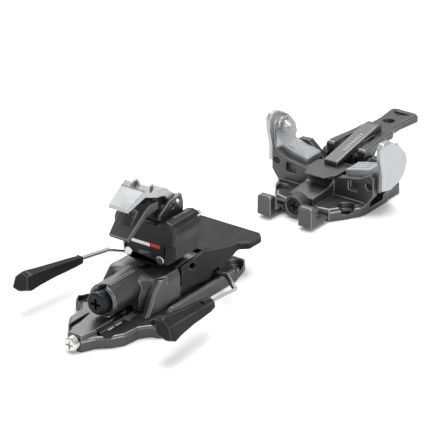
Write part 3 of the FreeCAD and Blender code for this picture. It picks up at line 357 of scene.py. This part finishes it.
def drawn_wire_steel():
    """Stainless spring wire: bright, with drawing lines along its length."""
    return surface(
        "stainless_spring_steel_drawn", colours().steel, (0.88, 1.04), (0.16, 0.26),
        sizes().draw_pitch, 0.001 * MM, stretch=(0.15, 1, 0.15), patch=12 * MM, fleck=0.06, Metallic=1.0,
    )


def black_oxide_steel():
    """Turned steel with a black oxide: dark and oily, a little browner where it was handled."""
    return surface(
        "black_oxide_steel_turned", colours().oxide, (0.75, 1.3), (0.3, 0.48),
        sizes().cutter_pitch, 0.012 * MM, stretch=(1, 0.2, 1), Metallic=0.9,
    )


def sintered_bronze():
    """A sintered bronze bush: warm, with the pores of pressed powder."""
    return surface(
        "sintered_bronze_pressed", colours().bronze, (0.7, 1.15), (0.34, 0.5),
        sizes().blast_grain, 0.03 * MM, Metallic=1.0,
    )


def scale_window_lens():
    """Smoked polycarbonate, moulded: dark and glossy over the scale behind it."""
    return surface(
        "smoked_polycarbonate_moulded", colours().lens, (0.9, 1.05), (0.06, 0.14),
        sizes().mould_grain, 0.004 * MM, IOR=1.585, **{"Transmission Weight": 0.3},
    )


def pad_print(name, colour):
    """Two-part pad printing ink: a thin matt film, slightly uneven where the pad lifted."""
    return surface(name, colour, (0.88, 1.06), (0.45, 0.6), sizes().blast_grain, 0.006 * MM, IOR=1.5)


def finish_nodes(names, body, edge=None, width=0, segments=1):
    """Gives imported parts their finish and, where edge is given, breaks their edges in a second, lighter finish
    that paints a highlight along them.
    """
    for name in names:
        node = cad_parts[name]
        node.data.materials.clear()
        node.data.materials.append(body)
        for face in node.data.polygons:
            face.material_index = 0
        if edge is None:
            continue
        node.data.materials.append(edge)
        weld = node.modifiers.new("weld", "WELD")
        weld.merge_threshold = WELD_MM * MM
        flat = node.modifiers.new("join_flat_faces", "DECIMATE")
        flat.decimate_type = "DISSOLVE"
        flat.angle_limit = math.radians(FLAT_DEGREES)
        flat.use_dissolve_boundaries = False
        broken = node.modifiers.new("edge_break", "BEVEL")
        broken.width = width
        broken.segments = segments
        broken.limit_method = "ANGLE"
        broken.angle_limit = math.radians(EDGE_DEGREES)
        # The bevel faces take the second material, a lighter colour that paints a highlight along the broken
        # edges.
        broken.material = 1
        broken.use_clamp_overlap = False
        broken.miter_outer = "MITER_ARC"
        smooth = node.modifiers.new("weighted_normals", "WEIGHTED_NORMAL")
        smooth.keep_sharp = True
        smooth.weight = 100


class BINDING_OT_machined_parts(bpy.types.Operator):
    """Anodised finishes and broken edges, with painted highlights along the edges, on the milled aluminium parts
    """

    bl_idname = "binding.machined_parts"
    bl_label = "Machined aluminium parts"

    def execute(self, context):
        width = sizes().edge_break
        finish_nodes(DARK_ANODISED, graphite_anodised_aluminium(), graphite_edge_highlight(), width)
        finish_nodes(BLACK_ANODISED, black_anodised_aluminium(), black_edge_highlight(), width)
        finish_nodes(SILVER_ANODISED, silver_anodised_aluminium(), silver_edge_highlight(), width)
        return {"FINISHED"}


class BINDING_OT_moulded_parts(bpy.types.Operator):
    """Moulded nylon finish, with painted highlights along the rounded edges, on the brake pedal, the brake shoes
    and the spindle
    """

    bl_idname = "binding.moulded_parts"
    bl_label = "Moulded parts"

    def execute(self, context):
        finish_nodes(MOULDED_NYLON, moulded_nylon(), nylon_edge_highlight(), sizes().mould_edge, segments=2)
        finish_nodes(("release_window",), scale_window_lens())
        return {"FINISHED"}


class BINDING_OT_steel_parts(bpy.types.Operator):
    """Ground, drawn and black oxide steel, and the bronze bush"""

    bl_idname = "binding.steel_parts"
    bl_label = "Steel and bronze parts"

    def execute(self, context):
        finish_nodes(BRIGHT_STEEL, ground_steel())
        finish_nodes(DRAWN_WIRE, drawn_wire_steel())
        finish_nodes(BLACK_STEEL, black_oxide_steel())
        finish_nodes(("turret_bush",), sintered_bronze())
        return {"FINISHED"}


def printed_marks(name, node, body, marks, along, across, ink):
    """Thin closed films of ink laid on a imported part: each mark is (centre in millimetres, length, width).

    The film follows the part's surface, found by looking down from along x across.
    """
    surface_tree = BVHTree.FromObject(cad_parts[node], bpy.context.evaluated_depsgraph_get())
    along, across = Vector(along).normalized(), Vector(across).normalized()
    facing = along.cross(across)
    above = facing * (RAY_START_MM * MM)
    thick = sizes().print_height
    shape = bmesh.new()
    for centre, length, width in marks:
        columns, rows = max(1, round(length / FILM_STEP_MM)), max(1, round(width / FILM_STEP_MM))
        films = []
        for level in (FILM_ABOVE * thick, FILM_BELOW * thick):
            film = []
            for i in range(columns + 1):
                for j in range(rows + 1):
                    point = Vector(centre) * MM
                    point += along * (length * MM * (i / columns - 0.5))
                    point += across * (width * MM * (j / rows - 0.5))
                    hit = surface_tree.ray_cast(point + above, -facing, RAY_REACH_MM * MM)[0]
                    if hit is None:
                        raise RuntimeError(f"{name}: a mark lies off {node} at {tuple(point)}")
                    film.append(shape.verts.new(hit + facing * level))
            films.append(film)
        top, bottom = films

        def corner(film, i, j):
            return film[i * (rows + 1) + j]

        for i in range(columns):
            for j in range(rows):
                ring = ((i, j), (i + 1, j), (i + 1, j + 1), (i, j + 1))
                shape.faces.new([corner(top, *c) for c in ring])
                shape.faces.new([corner(bottom, *c) for c in reversed(ring)])
        rim = [(i, 0) for i in range(columns)] + [(columns, j) for j in range(rows)]
        rim += [(i, rows) for i in range(columns, 0, -1)] + [(0, j) for j in range(rows, 0, -1)]
        for here, after in zip(rim, rim[1:] + rim[:1]):
            shape.faces.new([
                corner(top, *after), corner(top, *here), corner(bottom, *here), corner(bottom, *after),
            ])
    mesh = bpy.data.meshes.new(name)
    shape.to_mesh(mesh)
    shape.free()
    mesh.materials.append(ink)
    piece = bpy.data.objects.new(name, mesh)
    bpy.context.scene.collection.objects.link(piece)
    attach(piece, body)
    return piece


def row(start, step, count, length, width):
    """A row of equal marks that starts at a point and goes on by a step, in millimetres."""
    return [(tuple(s + i * d for s, d in zip(start, step)), length, width) for i in range(count)]


class BINDING_OT_printed_marks(bpy.types.Operator):
    """Pad-printed accent bar and plain graduations, with no lettering"""

    bl_idname = "binding.printed_marks"
    bl_label = "Printed marks"

    def execute(self, context):
        white = pad_print("pad_printing_ink_white", colours().print_white)
        grey = pad_print("pad_printing_ink_grey", colours().print_grey)
        red = pad_print("pad_printing_ink_red", colours().print_red)
        x_axis, y_axis, z_axis = (1, 0, 0), (0, 1, 0), (0, 0, 1)
        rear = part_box("turret_housing")[0].y / MM
        white_bar = [((-2.3, rear, 37.0), 11.8, 1.8)]
        red_bar = [((7.1, rear, 37.2), 5.6, 1.8)]
        index_marks = row((6.7, -18.3, 5.5), (0, 6.2, 0), 2, 0.9, 4.6)
        carriage_row = row((1.9, -12.5, 26.6), (0, 1.9, 0), 11, 2.2, 0.6)
        barrel_row = row((13.2, 26.6, 52), (0, 1.5, 0), 7, 1.8, 0.45)
        lever_row = row((1.1, 200.5, 25.5), (0, 2.1, 0), 9, 2.2, 0.7)
        flank_row = row((18.4, 15, 7.5), (0, 6.8, 0), 3, 1.4, 0.6)
        for name, node, body, marks, across, ink in (
            ("turret_accent_bar_white", "turret_housing", "turret", white_bar, z_axis, white),
            ("turret_accent_bar_red", "turret_housing", "turret", red_bar, z_axis, red),
            ("base_index_marks", "heel_base_plate", "root", index_marks, y_axis, white),
            ("carriage_graduations", "heel_carriage", "carriage", carriage_row, y_axis, grey),
            ("barrel_graduations", "turret_housing", "turret", barrel_row, y_axis, grey),
            ("lever_graduations", "lever_bar", "toe_lever", lever_row, y_axis, grey),
            ("base_flank_marks", "heel_base_plate", "root", flank_row, y_axis, grey),
        ):
            printed_marks(name, node, body, marks, x_axis, across, ink)
        return {"FINISHED"}


class BINDING_OT_stage(bpy.types.Operator):
    """Pale floor, soft studio lights and the camera"""

    bl_idname = "binding.stage"
    bl_label = "Stage"

    def execute(self, context):
        make_floor(CAD_BOX[0].z)
        make_lights()
        make_camera()
        return {"FINISHED"}


def make_floor(height):
    """A wide sheet of pale matt paper that the binding stands on."""
    mesh = bpy.data.meshes.new("studio_floor")
    half, level = FLOOR_HALF_WIDTH, height - FLOOR_GAP_MM * MM
    corners = [(x * half, y * half, level) for x, y in ((-1, -1), (1, -1), (1, 1), (-1, 1))]
    mesh.from_pydata(corners, [], [(0, 1, 2, 3)])
    floor = bpy.data.objects.new("studio_floor", mesh)
    bpy.context.scene.collection.objects.link(floor)
    paper = surface(
        "matt_background_paper", linear("f7f7f7"), (0.99, 1.0), (0.85, 0.95),
        1.2 * MM, 0.01 * MM, IOR=1.45,
    )
    mesh.materials.append(paper)


def make_lights():
    """A white room with a large overhead softbox, a key behind on the left and a low fill on the right."""
    world = bpy.data.worlds.new("white_room")
    bpy.context.scene.world = world
    world.use_nodes = True
    background = world.node_tree.nodes["Background"]
    background.inputs["Color"].default_value = (1, 1, 1, 1)
    background.inputs["Strength"].default_value = ROOM_STRENGTH
    for name, place, aim, size, watts in SOFTBOXES:
        lamp = bpy.data.lights.new(name, "AREA")
        lamp.energy = watts
        lamp.size = size
        box = bpy.data.objects.new(name, lamp)
        box.location = place
        box.rotation_euler = (Vector(place) - Vector(aim)).to_track_quat("Z", "Y").to_euler()
        bpy.context.scene.collection.objects.link(box)


def make_camera():
    """A long lens from behind and to the right, a quarter above the horizon."""
    data = bpy.data.cameras.new("camera")
    data.lens = LENS_MM
    data.sensor_width = SENSOR_MM
    data.clip_start = 0.05
    data.clip_end = 20.0
    camera = bpy.data.objects.new("camera", data)
    azimuth, elevation = math.radians(CAMERA_AZIMUTH), math.radians(CAMERA_ELEVATION)
    level = math.cos(elevation)
    back = Vector((math.sin(azimuth) * level, -math.cos(azimuth) * level, math.sin(elevation)))
    camera.location = Vector(CAMERA_TARGET) + back * CAMERA_DISTANCE
    camera.rotation_euler = back.to_track_quat("Z", "Y").to_euler()
    bpy.context.scene.collection.objects.link(camera)
    bpy.context.scene.camera = camera
    bpy.context.scene.view_settings.view_transform = "Standard"


class BINDING_PT_panel(bpy.types.Panel):
    """Lists the sizes, the colours and the steps"""

    bl_idname = "BINDING_PT_panel"
    bl_label = "Touring binding"
    bl_space_type = "VIEW_3D"
    bl_region_type = "UI"
    bl_category = "Binding"

    def draw(self, context):
        for group in (context.scene.binding_sizes, context.scene.binding_colours):
            column = self.layout.column()
            for name in group.__annotations__:
                column.prop(group, name)
        for operator in STEPS:
            self.layout.operator(operator.bl_idname)


STEPS = (
    BINDING_OT_machined_parts,
    BINDING_OT_moulded_parts,
    BINDING_OT_steel_parts,
    BINDING_OT_printed_marks,
    BINDING_OT_stage,
)
CLASSES = (BindingColours, BindingSizes, *STEPS, BINDING_PT_panel)


def register():
    for cls in CLASSES:
        bpy.utils.register_class(cls)
    bpy.types.Scene.binding_colours = bpy.props.PointerProperty(type=BindingColours)
    bpy.types.Scene.binding_sizes = bpy.props.PointerProperty(type=BindingSizes)


def unregister():
    del bpy.types.Scene.binding_sizes
    del bpy.types.Scene.binding_colours
    for cls in reversed(CLASSES):
        bpy.utils.unregister_class(cls)


def main():
    register()
    bpy.ops.binding.machined_parts()
    bpy.ops.binding.moulded_parts()
    bpy.ops.binding.steel_parts()
    bpy.ops.binding.printed_marks()
    bpy.ops.binding.stage()


if __name__ == "__main__":
    main()
